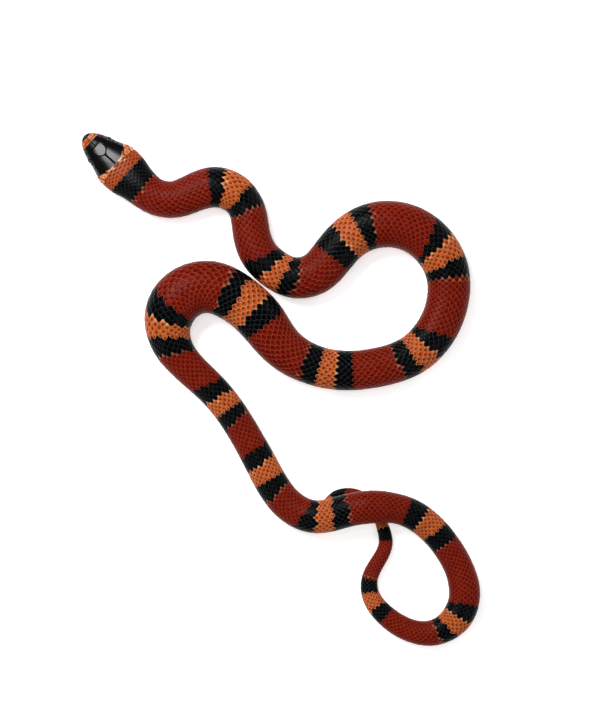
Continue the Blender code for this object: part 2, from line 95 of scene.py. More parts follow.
# The skin under the coat, in mm.
COAT_DEPTH = 0.25        # the skin's depth under the solids on the body
SHIELD_BED = 0.05        # and under the head shields
HEAD_COAT_FROM, HEAD_COAT_TO = 22.0, 28.0
CHIN_FROM, CHIN_TO = 118.0, 135.0         # degrees round the head
SKIN_COLUMNS = 120
SKIN_RINGS = 640
RING_STATIONS = [(0.0, 0.0), (0.02, 0.3), (0.2, 40.0), (0.97, 860.0), (1.0, None)]

MOUTH_LEVEL = [(0.0, 3.5), (5.0, 3.3), (12.0, 3.7), (18.0, 3.5), (23.0, 3.9), (27.5, 5.0)]
MOUTH_CORNER = 26.5
MOUTH_DEPTH = 0.55
MOUTH_FRONT, MOUTH_FADE = 0.6, 2.5        # mm over which the groove starts and ends
MOUTH_HALF_ANGLE = 0.045
# Shares of a half ring of the skin where its columns leave for the mouth line, cross it and go on.
MOUTH_COLUMNS_FROM, MOUTH_COLUMN, MOUTH_COLUMNS_TO = 0.6, 0.69, 0.78
HEAD_RINGS_END = 10.0    # mm behind the mouth over which the columns spread evenly again

EYE_S, EYE_SIDE, EYE_LEVEL, EYE_RADIUS = 12.0, 6.9, 7.9, 2.4
GAZE_OUT, GAZE_AHEAD, GAZE_UP = 0.93, 0.22, 0.2
EYE_SIDES, EYE_RINGS = 64, 40
EYE_RIM, EYE_RIM_BACK = 0.13, 1.36     # thickness of the ring round the eye, and its distance out
NOSTRIL_S, NOSTRIL_LEVEL = 3.4, 6.6
NOSTRIL_INNER, NOSTRIL_OUTER, NOSTRIL_DEPTH = 0.28, 0.62, 0.6

# Head shields of the right side, as outlines of (s in mm, angle from the middle line in degrees).
TOP_SHIELDS = {
    "internasal": [(1.7, 0.4), (1.7, 49), (2.9, 53), (4.2, 49), (4.4, 0.4)],
    "prefrontal": [(4.6, 0.4), (4.4, 50), (6.2, 58), (8.0, 53), (8.9, 22), (9.3, 0.4)],
    "supraocular": [(9.2, 24), (8.3, 52), (9.8, 54), (12.0, 57), (14.0, 55), (15.1, 47),
                    (15.3, 33), (14.0, 17), (11.8, 19)],
    "parietal": [(16.4, 0.4), (14.3, 15), (15.5, 32), (15.5, 47), (18.6, 51), (21.6, 40),
                 (24.0, 24), (25.0, 9), (24.4, 0.4)],
}
FRONTAL = [(9.5, 0), (9.3, 21), (11.6, 17), (13.8, 14), (16.2, 0), (13.8, -14), (11.6, -17),
           (9.3, -21)]
SIDE_SHIELDS = {
    "nasal": [(1.9, 52), (3.1, 55.5), (4.7, 51.5), (4.95, 82), (3.1, 86), (2.0, 86)],
    "loreal": [(5.1, 56), (6.2, 62), (7.3, 61), (7.3, 78), (5.1, 80)],
    "preocular": [(7.5, 60), (8.1, 57), (9.8, 57), (9.6, 77), (7.5, 78)],
    "upper_postocular": [(14.4, 58), (15.4, 52), (16.8, 54), (16.8, 66), (14.6, 65)],
    "lower_postocular": [(14.6, 67), (16.8, 68), (16.7, 82), (14.4, 80)],
    "first_temporal": [(17.1, 54), (18.8, 54), (21.3, 46), (21.7, 66), (21.3, 84), (17.0, 84)],
    "upper_temporal": [(21.6, 44), (23.6, 31), (25.2, 26), (26.0, 46), (22.0, 64)],
    "lower_temporal": [(22.0, 66), (26.0, 50), (26.4, 72), (21.7, 82)],
}
MENTAL = [(0.5, 126), (1.6, 126), (1.8, 146), (2.4, 165), (2.4, 195), (1.8, 214), (1.6, 234), (0.5, 234)]
CHIN_SHIELDS = {
    "front_chin": [(2.6, 179.3), (2.6, 150), (5.0, 138), (9.5, 139), (11.3, 158), (11.6, 179.3)],
    "rear_chin": [(12.0, 178.6), (11.7, 158), (10.2, 141), (15.5, 146), (18.6, 160), (19.0, 174)],
}
UPPER_LIP_JOINTS = [1.7, 4.5, 7.3, 10.2, 13.2, 16.4, 20.2, 24.8]
LOWER_LIP_JOINTS = [1.9, 3.6, 5.8, 8.2, 10.8, 13.6, 16.6, 20.0, 24.4]
LIP_PARTING, LIP_HEIGHT = 2.4, 19.0       # degrees
ROSTRAL_RIMS = [1.0, 0.96, 0.88, 0.7, 0.45, 0.2]
ROSTRAL_SIDES = 48
ROSTRAL_RISE, ROSTRAL_ROOT, ROSTRAL_EDGE = 0.2, 0.4, 0.1
ROSTRAL_REACH = [(0, 1.55), (60, 1.5), (96, 1.45), (108, 0.8), (120, 0.5)]   # degrees, mm back from the tip
SHIELD_RISE = 0.3
SHIELD_ROOT = 0.5
SHIELD_GROOVE = 0.02     # distance from a shield's outline to its edge, on the crown
SIDE_GROOVE = -0.06      # and on the sides and lips
SHIELD_RIM = 0.11        # width of a shield's rounded rim
SHIELD_DOME = -0.07       # height of a face's middle over its rim
CORNER_ROUND = (0.1, 0.22)
SHIELD_SIDES = 40
SHIELD_RIMS = [1.0, 0.98, 0.96, 0.94, 0.72, 0.54, 0.4, 0.27, 0.14]   # the first three make the rim
FLAT_FROM = 0.96         # the face is flat inside this ring; the next holds the rim's shape
HOLD_FROM = 0.94

# The coat of scales.
SCALE_PITCH = [(0, 2.0), (24, 2.1), (36, 2.6), (56, 3.45), (90, 3.5), (180, 3.6), (230, 3.3), (286, 3.5),
               (342, 3.75), (397, 3.6), (456, 3.35), (512, 3.6), (606, 2.9), (655, 3.2), (718, 2.75),
               (762, 2.7), (806, 2.4), (850, 1.9), (880, 1.4), (890, 1.1)]
SCALE_ROWS = [(0, 23), (400, 23), (456, 22), (540, 21), (700, 20), (762, 17), (806, 13.5), (850, 10),
              (890, 7)]
ROW_GROWTH = 0.18        # how much the rows widen from the back to the flank
COAT_EDGE = 126.0        # degrees from the back's middle line to the belly plates
SCALE_SIDES = 16
SCALE_RIMS = [1.0, 0.88, 0.55]
STEP_READ = 0.5          # mm between the places that the scales are counted at
LAST_ROW = 15            # rows are numbered from -15 on the left to 15 on the right
SCALE_LENGTH = 0.63      # half length over the pitch
SCALE_WIDTH = 0.9        # half width over the row spacing
SCALE_POINT = 1.7        # exponent of its outline, between a lozenge and an oval
SCALE_SINK = 0.10
SCALE_TILT = 0.28
SCALE_DOME = 0.13
SCALE_THICKNESS = 0.13
SCALE_ROOM = 0.05        # mm that a scale's middle stays clear of a head shield
COAT_PIECES = 6
FIRST_BELLY_PLATE = 36.0
VENT = 768.0

# Pairs of black bands with an orange band between, to half a millimetre: each black or orange edge as
# (place on the back along the spine, how much further back it lies on the right side than on the left).
TRIADS = [
    ((83.5, -2.0), (92.0, 1.5), (102.0, 0.0), (111.0, 4.0)),
    ((137.5, -6.0), (145.5, -4.0), (153.5, -1.5), (161.0, -7.5)),
    ((183.5, 0.0), (194.5, -2.0), (204.5, -1.0), (213.0, -2.0)),
    ((246.0, 8.0), (253.0, 3.0), (262.5, 1.5), (270.5, 0.0)),
    ((302.0, 6.0), (310.0, 1.5), (319.5, 2.0), (328.0, 3.0)),
    ((353.0, 1.0), (362.5, 0.0), (372.0, 0.0), (380.5, 2.0)),
    ((410.0, 2.5), (420.0, 0.0), (431.5, 0.0), (440.0, -1.0)),
    ((473.5, -9.0), (482.0, -7.0), (491.0, -7.5), (500.0, -8.0)),
    ((524.0, -6.0), (533.5, -2.5), (542.0, 0.0), (549.5, 4.0)),
    ((568.0, 1.0), (576.5, 3.0), (586.5, 0.5), (595.0, 3.5)),
    ((614.0, -4.0), (621.0, -2.5), (630.0, -3.5), (639.0, 0.0)),
    ((671.5, 0.0), (680.5, 0.0), (691.0, -1.0), (700.0, 0.0)),
    ((735.0, 2.0), (742.5, 1.5), (751.0, 2.5), (757.5, 2.0)),
    ((788.0, 0.0), (795.0, 0.0), (804.0, 0.0), (812.0, 0.0)),
    ((835.0, 0.0), (842.5, 0.0), (853.0, 0.0), (861.0, 0.0)),
]
NAPE_BAND = (32.5, 44.5)
TIP_BAND = (873.0, 881.0)
SHOWN_SHARE = 0.3        # how far behind its middle the shown part of a scale lies, over the pitch
SNOUT_BAND = (2.2, 5.3)
CAP_BACK = [(0, 24.6), (12, 24.4), (22, 23.3), (34, 22.7), (48, 21.7), (65, 20.2), (90, 19.0), (120, 18.5)]
CAP_SLANT = 0.7          # mm that the cap's rear edge lies further back on the right
JAW_BLACK = (4.0, 11.0, 100.0, 122.0)     # black on the lower lip: s in mm, then degrees round the head
COLLAR_SHARE = 0.55      # how far the collar's colour goes from brick red to orange
# Pale marks behind the cap: s, distance to the right, half length and half width, in mm.
PALE_MARKS = [(25.0, 3.4, 1.5, 2.2), (25.2, -3.6, 1.9, 1.9)]

# Camera and light.
VIEW_MIDDLE = (12.9, 15.4)
VIEW_LEVEL = 11.0
VIEW_HEIGHT = 398.2
CAMERA_LEVEL = 1500.0
SENSOR = 36.0
# Softboxes: place and side in metres, and power in watts.
SOFTBOXES = [("main_softbox", (-0.45, 0.55, 0.9), 0.45, 12.0), ("fill_softbox", (0.6, -0.5, 0.8), 0.5, 2.0),
             ("left_softbox", (-0.8, -0.5, 0.6), 0.5, 1.6), ("right_softbox", (0.8, 0.6, 0.6), 0.5, 1.6),
             ("head_softbox", (-0.2, 0.24, 1.45), 0.14, 1.6)]
WORLD_STRENGTH = 0.20


def smooth_curve(stations):
    """A smooth function through (x, y) stations that never overshoots them."""
    x, y = np.array(stations, float).T
    h, rise = np.diff(x), np.diff(y) / np.diff(x)
    slope = np.zeros(len(x))
    slope[0], slope[-1] = rise[0], rise[-1]
    same_way = rise[:-1] * rise[1:] > 0
    w1, w2 = 2 * h[1:] + h[:-1], h[1:] + 2 * h[:-1]
    with np.errstate(divide="ignore", invalid="ignore"):
        mean = (w1 + w2) / (w1 / rise[:-1] + w2 / rise[1:])
    slope[1:-1] = np.where(same_way, mean, 0.0)

    def value(at):
        at = np.clip(at, x[0], x[-1])
        i = np.minimum(np.searchsorted(x, at, side="right") - 1, len(x) - 2)
        t = (at - x[i]) / h[i]
        low = y[i] * (1 + 2 * t) * (1 - t) ** 2 + slope[i] * h[i] * t * (1 - t) ** 2
        high = y[i + 1] * t * t * (3 - 2 * t) + slope[i + 1] * h[i] * t * t * (t - 1)
        return low + high

    return value


def make_spine():
    """The route as a natural cubic spline: distance run, points and headings."""
    points = np.array(ROUTE)
    knots = np.r_[0, np.cumsum(np.hypot(*np.diff(points, axis=0).T))]
    h = np.diff(knots)
    n = len(points)
    system, right = np.eye(n), np.zeros((n, 2))
    for i in range(1, n - 1):
        system[i, i - 1:i + 2] = h[i - 1], 2 * (h[i - 1] + h[i]), h[i]
        right[i] = 6 * ((points[i + 1] - points[i]) / h[i] - (points[i] - points[i - 1]) / h[i - 1])
    bend = np.linalg.solve(system, right)
    fine = np.arange(0, knots[-1], SPINE_STEP)
    i = np.minimum(np.searchsorted(knots, fine, side="right") - 1, n - 2)
    a, b = ((knots[i + 1] - fine) / h[i])[:, None], ((fine - knots[i]) / h[i])[:, None]
    line = a * points[i] + b * points[i + 1]
    line += ((a ** 3 - a) * bend[i] + (b ** 3 - b) * bend[i + 1]) * (h[i] ** 2)[:, None] / 6
    run = np.r_[0, np.cumsum(np.hypot(*np.diff(line, axis=0).T))]
    heading = np.unwrap(np.arctan2(*np.gradient(line, axis=0).T[::-1]))
    return run, line, heading


RUN, LINE, HEADING = make_spine()
SPINE_LENGTH = float(RUN[-1])


def make_profile():
    """Half width, top, underside and widest level as smooth functions of the root of s."""
    rows = list(HEAD_PROFILE)
    for s, half in BODY_WIDTHS:
        share = HEIGHT_SHARE * NECK_HEIGHT.get(s, 1.0)
        rows.append((s, half, share * half, 0.0, WIDEST_SHARE * half))
    rows.append((SPINE_LENGTH, *TIP_SECTION))
    table = np.array(rows)
    return [smooth_curve(np.c_[np.sqrt(table[:, 0]), table[:, i]]) for i in range(1, 5)]


PROFILE = make_profile()
UPPER_EXPONENT = smooth_curve(UPPER_ROUND)
LOWER_EXPONENT = smooth_curve(LOWER_ROUND)
MOUTH_AT = smooth_curve(MOUTH_LEVEL)


def ease(value, low, high):
    """0 below low and 1 above high, with a smooth turn between."""
    t = np.clip((value - low) / (high - low), 0, 1)
    return t * t * (3 - 2 * t)


def section(s, a):
    """Place on the section at s: distance to the right of the spine, and level."""
    half, top, under, widest = (f(np.sqrt(s)) for f in PROFILE)
    side, up = np.sin(a), np.cos(a)
    upper = up >= 0
    power = 2 / np.where(upper, UPPER_EXPONENT(s), LOWER_EXPONENT(s))
    reach = np.where(upper, top - widest, under - widest)
    x = np.copysign(half * np.abs(side) ** power, side)
    z = widest + reach * np.abs(up) ** power
    share = np.clip(np.abs(s - ARCH_MIDDLE) / ARCH_HALF_LENGTH, 0, 1)
    return x, np.maximum(z - PRESS, 0) + ARCH_RISE * np.cos(share * np.pi / 2) ** 2


def on_solid(s, a):
    """Points of the solids' surface, as rows of x, y, z."""
    heading = np.interp(s, RUN, HEADING)
    x, z = section(s, a)
    return np.stack([np.interp(s, RUN, LINE[:, 0]) + x * np.sin(heading),
                     np.interp(s, RUN, LINE[:, 1]) - x * np.cos(heading), z], -1)


def place(s, a, rise):
    """Points raised over the solids' surface along its normal, and never under the floor."""
    s, a, rise = np.broadcast_arrays(np.clip(s, 0.0, SPINE_LENGTH), a, rise)
    behind, before = np.minimum(s + FINE_STEP, SPINE_LENGTH), np.maximum(s - FINE_STEP, FIRST_S)
    along = on_solid(behind, a) - on_solid(before, a)
    around = on_solid(s, a + FINE_TURN) - on_solid(s, a - FINE_TURN)
    normal = np.cross(around, along)
    normal /= np.maximum(np.linalg.norm(normal, axis=-1, keepdims=True), 1e-9)
    points = on_solid(s, a) + normal * rise[..., None]
    points[..., 2] = np.maximum(points[..., 2], FLOOR_CLEARANCE)
    return points


def angle_of_level(s, level):
    """Angle on the right side at a level."""
    half, top, under, widest = (f(np.sqrt(s)) for f in PROFILE)
    level = level + PRESS
    high = np.clip((level - widest) / (top - widest), 0, TOP_LIMIT) ** (UPPER_EXPONENT(s) / 2)
    low = np.clip((widest - level) / (widest - under), 0, UNDER_LIMIT) ** (LOWER_EXPONENT(s) / 2)
    return np.where(level >= widest, np.arccos(high), np.pi - np.arccos(low))


NOSTRIL_ANGLE = float(angle_of_level(NOSTRIL_S, NOSTRIL_LEVEL))


def mouth_angle(s):
    """Angle of the line between the lips."""
    return np.minimum(angle_of_level(s, MOUTH_AT(s)), np.pi - 5 * MOUTH_HALF_ANGLE)


def chin_share(a):
    """0 on the top and sides of the head, 1 under it."""
    return ease(np.degrees(np.abs(a)), CHIN_FROM, CHIN_TO)


def skin_depth(s, a):
    """How deep the skin lies under the solids' surface."""
    share = np.maximum(ease(s, HEAD_COAT_FROM, HEAD_COAT_TO), chin_share(a))
    return SHIELD_BED + (COAT_DEPTH - SHIELD_BED) * share


def inside(outline, s, a):
    """Whether places lie inside an outline of (s, degrees)."""
    hit = np.zeros(np.shape(s), bool)
    deg = np.degrees(a)
    for (s0, a0), (s1, a1) in zip(outline, outline[1:] + outline[:1]):
        crosses = (a0 > deg) != (a1 > deg)
        with np.errstate(divide="ignore", invalid="ignore"):
            at = s0 + (deg - a0) * (s1 - s0) / (a1 - a0)
        hit ^= crosses & (s < at)
    return hit


# Markings
def edge_at(edge, side):
    """Where a band's edge crosses the body, at a share of the way to the right (1) or left (-1)."""
    middle, slant = edge
    return middle + slant / 2 * side


def marking(s, a):
    """Amounts of black and of orange, 0 or 1, at places on the animal."""
    s, a = np.broadcast_arrays(s, a)
    turn = np.abs(np.degrees((a + np.pi) % (2 * np.pi) - np.pi))
    side = np.sin(a)
    black = np.zeros(s.shape, bool)
    orange = np.zeros(s.shape, bool)
    for edges in TRIADS:
        black_from, orange_from, orange_to, black_to = (edge_at(edge, side) for edge in edges)
        middle = (s > orange_from) & (s < orange_to)
        black |= (s > black_from) & (s < black_to) & ~middle
        orange |= middle
    black |= (s > NAPE_BAND[0]) & (s < NAPE_BAND[1])
    black |= (s > TIP_BAND[0]) & (s < TIP_BAND[1])
    orange |= s > TIP_BAND[1]
    back = np.interp(turn, *np.array(CAP_BACK).T) + CAP_SLANT * side
    cap = (s > SNOUT_BAND[1]) & (s < back) & (turn < np.degrees(mouth_angle(s)))
    jaw_from, jaw_to, jaw_top, jaw_low = JAW_BLACK
    jaw = (s > jaw_from) & (s < jaw_to) & (turn > jaw_top) & (turn < jaw_low)
    head = s < NAPE_BAND[0]
    black |= head & ((s < SNOUT_BAND[0]) | cap | jaw)
    collar = head & ~black & (s > SNOUT_BAND[1])
    orange |= head & ~black
    return black.astype(float), orange * np.where(collar, COLLAR_SHARE, 1.0)


def pale_marks(s, a):
    """Amount of the cream colour behind the cap."""
    x = PROFILE[0](np.sqrt(s)) * np.sin(a)
    marks = [np.exp(-((s - at) / length) ** 4 - ((x - side) / width) ** 4)
             for at, side, length, width in PALE_MARKS]
    return sum(marks) * (np.cos(a) > 0)


# Meshes
def select_none():
    if bpy.context.object and bpy.context.object.mode != "OBJECT":
        bpy.ops.object.mode_set(mode="OBJECT")
    bpy.ops.object.select_all(action="DESELECT")


def edit(obj):
    """Puts one object in edit mode with everything in it selected."""
    select_none()
    obj.select_set(True)
    bpy.context.view_layer.objects.active = obj
    bpy.ops.object.mode_set(mode="EDIT")
    bpy.ops.mesh.select_mode(type="VERT")
    bpy.ops.mesh.select_all(action="SELECT")


def close_below():
    """Gives the open sheet in edit mode a wall down to a flat underside at -1."""
    bpy.ops.mesh.select_all(action="SELECT")
    bpy.ops.mesh.region_to_loop()
    bpy.ops.mesh.extrude_region_move(TRANSFORM_OT_translate={"value": (0, 0, -1)})
    bpy.ops.mesh.edge_face_add()
    bpy.ops.mesh.select_all(action="SELECT")
    bpy.ops.mesh.normals_make_consistent(inside=False)


def take_blank(obj):
    """Reads a modelled blank as points, loops and face starts, and removes its object."""
    mesh = obj.data
    points = np.zeros((len(mesh.vertices), 3))
    mesh.vertices.foreach_get("co", points.ravel())
    loops = np.zeros(len(mesh.loops), int)
    mesh.loops.foreach_get("vertex_index", loops)
    starts = np.zeros(len(mesh.polygons), int)
    mesh.polygons.foreach_get("loop_start", starts)
    bpy.data.objects.remove(obj)
    return points, loops, starts


def round_blank(sides, rims):
    """A round plate of radius 1, its top face at 0 in rings and its underside at -1."""
    select_none()
    bpy.ops.mesh.primitive_circle_add(vertices=sides, radius=1, fill_type="NGON")
    obj = bpy.context.object
    edit(obj)
    bpy.ops.mesh.select_mode(type="FACE")
    for outer, inner in zip(rims, rims[1:]):
        bpy.ops.mesh.inset(thickness=(outer - inner) * np.cos(np.pi / sides))
    bpy.ops.mesh.poke()
    close_below()
    bpy.ops.object.mode_set(mode="OBJECT")
    return take_blank(obj)


def sheet_blank(rows, columns):
    """A square plate from -1 to 1, its top face at 0 and its underside at -1."""
    select_none()
    bpy.ops.mesh.primitive_grid_add(x_subdivisions=rows, y_subdivisions=columns, size=2)
    obj = bpy.context.object
    edit(obj)
    close_below()
    bpy.ops.object.mode_set(mode="OBJECT")
    return take_blank(obj)


def joined_copies(name, blank, points, values, spots):
    """One mesh of many copies of a blank: points are copies x corners x 3 in mm, values are named
    numbers for each corner, and spots are the corners' places on the bake map."""
    _, loops, starts = blank
    copies, corners = points.shape[:2]
    mesh = bpy.data.meshes.new(name)
    mesh.vertices.add(copies * corners)
    mesh.vertices.foreach_set("co", (points * MM).astype(np.float32).ravel())
    shift = np.arange(copies)[:, None]
    all_loops = (loops + shift * corners).ravel()
    mesh.loops.add(len(all_loops))
    mesh.loops.foreach_set("vertex_index", all_loops.astype(np.int32))
    mesh.polygons.add(copies * len(starts))
    mesh.polygons.foreach_set("loop_start", (starts + shift * len(loops)).ravel().astype(np.int32))
    mesh.update(calc_edges=True)
    for label, numbers in values.items():
        layer = mesh.attributes.new(label, "FLOAT", "POINT")
        spread = np.broadcast_to(numbers, (copies, corners))
        layer.data.foreach_set("value", spread.astype(np.float32).ravel())
    uv = mesh.uv_layers.new(name="OFBake")
    uv.data.foreach_set("uv", spots.reshape(-1, 2)[all_loops].astype(np.float32).ravel())
    mesh.shade_smooth()
    obj = bpy.data.objects.new(name, mesh)
    bpy.context.scene.collection.objects.link(obj)
    return obj


BAKE_STRIPS = 4
BAKE_MARGIN = 0.02
PATCH = 0.0045


def bake_spot(s, a, strip):
    """Place on the skin's unwrap: the animal unrolled and laid in strips, the head in the first."""
    length = SPINE_LENGTH / BAKE_STRIPS
    turn = (a / (2 * np.pi) + 0.5) % 1.0
    u = BAKE_MARGIN + (1 - 2 * BAKE_MARGIN) * (s / length - strip)
    v = (strip + BAKE_MARGIN + (1 - 2 * BAKE_MARGIN) * turn) / BAKE_STRIPS
    return np.stack(np.broadcast_arrays(u, v), -1)


def strip_of(s):
    return np.clip(np.floor(s * BAKE_STRIPS / SPINE_LENGTH), 0, BAKE_STRIPS - 1)


def finish_piece(obj, finish, slot, *nodes):
    obj.data.materials.append(finish)
    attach(obj, "root")
    if nodes:
        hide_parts(*nodes)


# The skin
def skin_angles(t, s):
    """Angles of the skin's columns: on the head they gather at the mouth line."""
    mouth = mouth_angle(np.minimum(s, MOUTH_CORNER))
    reach = 2 * MOUTH_HALF_ANGLE
    above = t / MOUTH_COLUMNS_FROM * (mouth - reach)
    beside = mouth + (t - MOUTH_COLUMN) / (MOUTH_COLUMNS_TO - MOUTH_COLUMN) * reach
    below = mouth + reach + (t - MOUTH_COLUMNS_TO) / (1 - MOUTH_COLUMNS_TO) * (np.pi - mouth - reach)
    gathered = np.where(t < MOUTH_COLUMNS_FROM, above, np.where(t < MOUTH_COLUMNS_TO, beside, below))
    share = ease(s, MOUTH_CORNER, MOUTH_CORNER + HEAD_RINGS_END)
    return gathered * (1 - share) + t * np.pi * share


def make_skin(finish):
    """A grid rolled round the spine into one closed tube from the snout to the tail tip."""
    select_none()
    bpy.ops.mesh.primitive_grid_add(x_subdivisions=SKIN_COLUMNS, y_subdivisions=SKIN_RINGS, size=2)
    obj = bpy.context.object
    obj.name = obj.data.name = "skin"
    mesh = obj.data
    flat = np.zeros((len(mesh.vertices), 3))
    mesh.vertices.foreach_get("co", flat.ravel())
    stations = [(v, SPINE_LENGTH if s is None else s) for v, s in RING_STATIONS]
    s = np.interp((flat[:, 1] + 1) / 2, *np.array(stations).T)
    a = np.copysign(skin_angles(np.abs(flat[:, 0]), s), flat[:, 0])
    rise = -skin_depth(s, a)
    groove = np.exp(-((np.abs(a) - mouth_angle(s)) / MOUTH_HALF_ANGLE) ** 2)
    groove *= ease(s, 0, MOUTH_FRONT) * (1 - ease(s, MOUTH_CORNER - MOUTH_FADE, MOUTH_CORNER))
    rise -= MOUTH_DEPTH * groove
    points = place(s, a, rise)
    points[flat[:, 1] < -0.9999] = on_solid(0.0, 0.0)
    points[flat[:, 1] > 0.9999] = on_solid(SPINE_LENGTH, np.pi / 2) * [1, 1, 0.8]
    mesh.vertices.foreach_set("co", (points * MM).astype(np.float32).ravel())
    loops = np.zeros(len(mesh.loops), int)
    mesh.loops.foreach_get("vertex_index", loops)
    strip = np.repeat(strip_of(s[loops].reshape(-1, 4).mean(1)), 4)
    uv = mesh.uv_layers.active or mesh.uv_layers.new(name="OFBake")
    uv.name = "OFBake"
    turn = np.clip(a[loops], -np.pi + 1e-4, np.pi - 1e-4)
    uv.data.foreach_set("uv", bake_spot(s[loops], turn, strip).astype(np.float32).ravel())
    black, orange = marking(s, a)
    for label, numbers in {"black": black, "orange": orange}.items():
        mesh.attributes.new(label, "FLOAT", "POINT").data.foreach_set("value", numbers.astype(np.float32))
    edit(obj)
    bpy.ops.mesh.remove_doubles(threshold=0.000002)
    bpy.ops.mesh.normals_make_consistent(inside=False)
    bpy.ops.object.mode_set(mode="OBJECT")
    mesh.shade_smooth()
    nodes = [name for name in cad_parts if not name.startswith("eye")]
    finish_piece(obj, finish, "scales", *nodes)
    return obj


# The coat
def scale_steps():
    """Places along the spine, the number of scales ahead of each, and the scales' pitch."""
    fine = np.arange(0, SPINE_LENGTH, STEP_READ)
    pitch_at = smooth_curve(SCALE_PITCH)
    return fine, np.r_[0, np.cumsum(STEP_READ / pitch_at(fine))][:-1], pitch_at


def scale_places():
    """Centres of all body scales: s, angle, row, pitch and spacing, in staggered rows."""
    fine, count, pitch_at = scale_steps()
    rows_at = smooth_curve(SCALE_ROWS)
    found = []
    for row in range(-LAST_ROW, LAST_ROW + 1):
        steps = np.arange(0, int(count[-1])) + (0.5 if row % 2 else 0.0)
        s = np.interp(steps, count, fine)
        s = s[s < SPINE_LENGTH - 3]
        down = row / (rows_at(s) / 2)
        a = np.radians(COAT_EDGE) * down * (1 - ROW_GROWTH + ROW_GROWTH * down ** 2)
        spacing = np.radians(COAT_EDGE * 2) / rows_at(s) * (1 - ROW_GROWTH + 3 * ROW_GROWTH * down ** 2)
        found.append(np.stack([s, a, np.full(len(s), row), pitch_at(s), spacing]))
    s, a, row, pitch, spacing = np.concatenate(found, 1)
    turn = np.degrees(np.abs(a))
    keep = np.where(s > FIRST_BELLY_PLATE, turn < COAT_EDGE + 4, (turn < 181) & (row > -LAST_ROW))
    keep &= s > 2.5
    head = s < 30
    mirrored = np.abs(a)
    for outline in all_outlines():
        keep &= ~(head & inside(grown(outline, SCALE_ROOM), s, mirrored))
    gap = np.degrees(np.abs(mirrored - mouth_angle(s)))
    keep &= ~((s < MOUTH_CORNER) & (gap < 8))
    keep &= ~((s < 24) & (turn < 118))
    return s[keep], a[keep], row[keep], pitch[keep], spacing[keep]


def grown(outline, by):
    """The outline pushed out from its middle, in mm along s and in degrees to match."""
    middle_s = sum(s for s, _ in outline) / len(outline)
    middle_a = sum(a for _, a in outline) / len(outline)
    return [(s + by * np.sign(s - middle_s), a + by * 6 * np.sign(a - middle_a)) for s, a in outline]


def lay_scales(s, a, pitch, spacing, blank):
    """Points of each scale, and each corner's place along and across it."""
    x, y, z = blank[0].T
    reach = np.hypot(x, y)
    angle = np.arctan2(y, x)
    power = 2 / SCALE_POINT
    along = reach * np.copysign(np.abs(np.cos(angle)) ** power, np.cos(angle))
    across = reach * np.copysign(np.abs(np.sin(angle)) ** power, np.sin(angle))
    size = rng.normal(1, 0.03, len(s))
    s_at = s[:, None] + along * (pitch * size * SCALE_LENGTH)[:, None]
    a_at = a[:, None] + across * (spacing * size * SCALE_WIDTH)[:, None]
    full = np.clip(pitch / 3.4, 0.3, 1.0)[:, None]
    lift = SCALE_TILT * rng.normal(1, 0.12, len(s))[:, None]
    height = -SCALE_SINK + lift * ease(along, -1, 1) + SCALE_DOME * (1 - reach ** 2)
    height = height - 0.05 * (reach > 0.99)
    height = np.where(z < -0.5, height - SCALE_THICKNESS, height)
    points = place(s_at, a_at, height * full - skin_depth(s_at, a_at))
    return points, along, across


def make_coat(finish):
    blank = round_blank(SCALE_SIDES, SCALE_RIMS)
    s, a, row, pitch, spacing = scale_places()
    s = s + rng.normal(0, 0.05, len(s))
    shown = s + SHOWN_SHARE * pitch
    black, orange = marking(shown + rng.normal(0, 0.25, len(s)), a)
    chance = rng.random(len(s))
    ahead_black, _ = marking(shown - pitch * 0.75, a)
    cream = np.maximum(ahead_black * (s > HEAD_COAT_TO) * chance * (0.3 + 0.4 * orange), pale_marks(s, a))
    group = (row + LAST_ROW).astype(int) * COAT_PIECES // (2 * LAST_ROW + 1)
    for number in range(COAT_PIECES):
        own = group == number
        points, along, across = lay_scales(s[own], a[own], pitch[own], spacing[own], blank)
        values = {"black": black[own][:, None], "orange": orange[own][:, None],
                  "cream": cream[own][:, None], "chance": chance[own][:, None],
                  "along": along, "across": across, "reach": np.hypot(*blank[0].T[:2])}
        spots = bake_spot(s[own], a[own], strip_of(s[own]))[:, None, :]
        spots = spots + PATCH / 2 * np.stack([along, across], -1)
        obj = joined_copies(f"scales_{number + 1}", blank, points, values, spots)
        finish_piece(obj, finish, "scales")


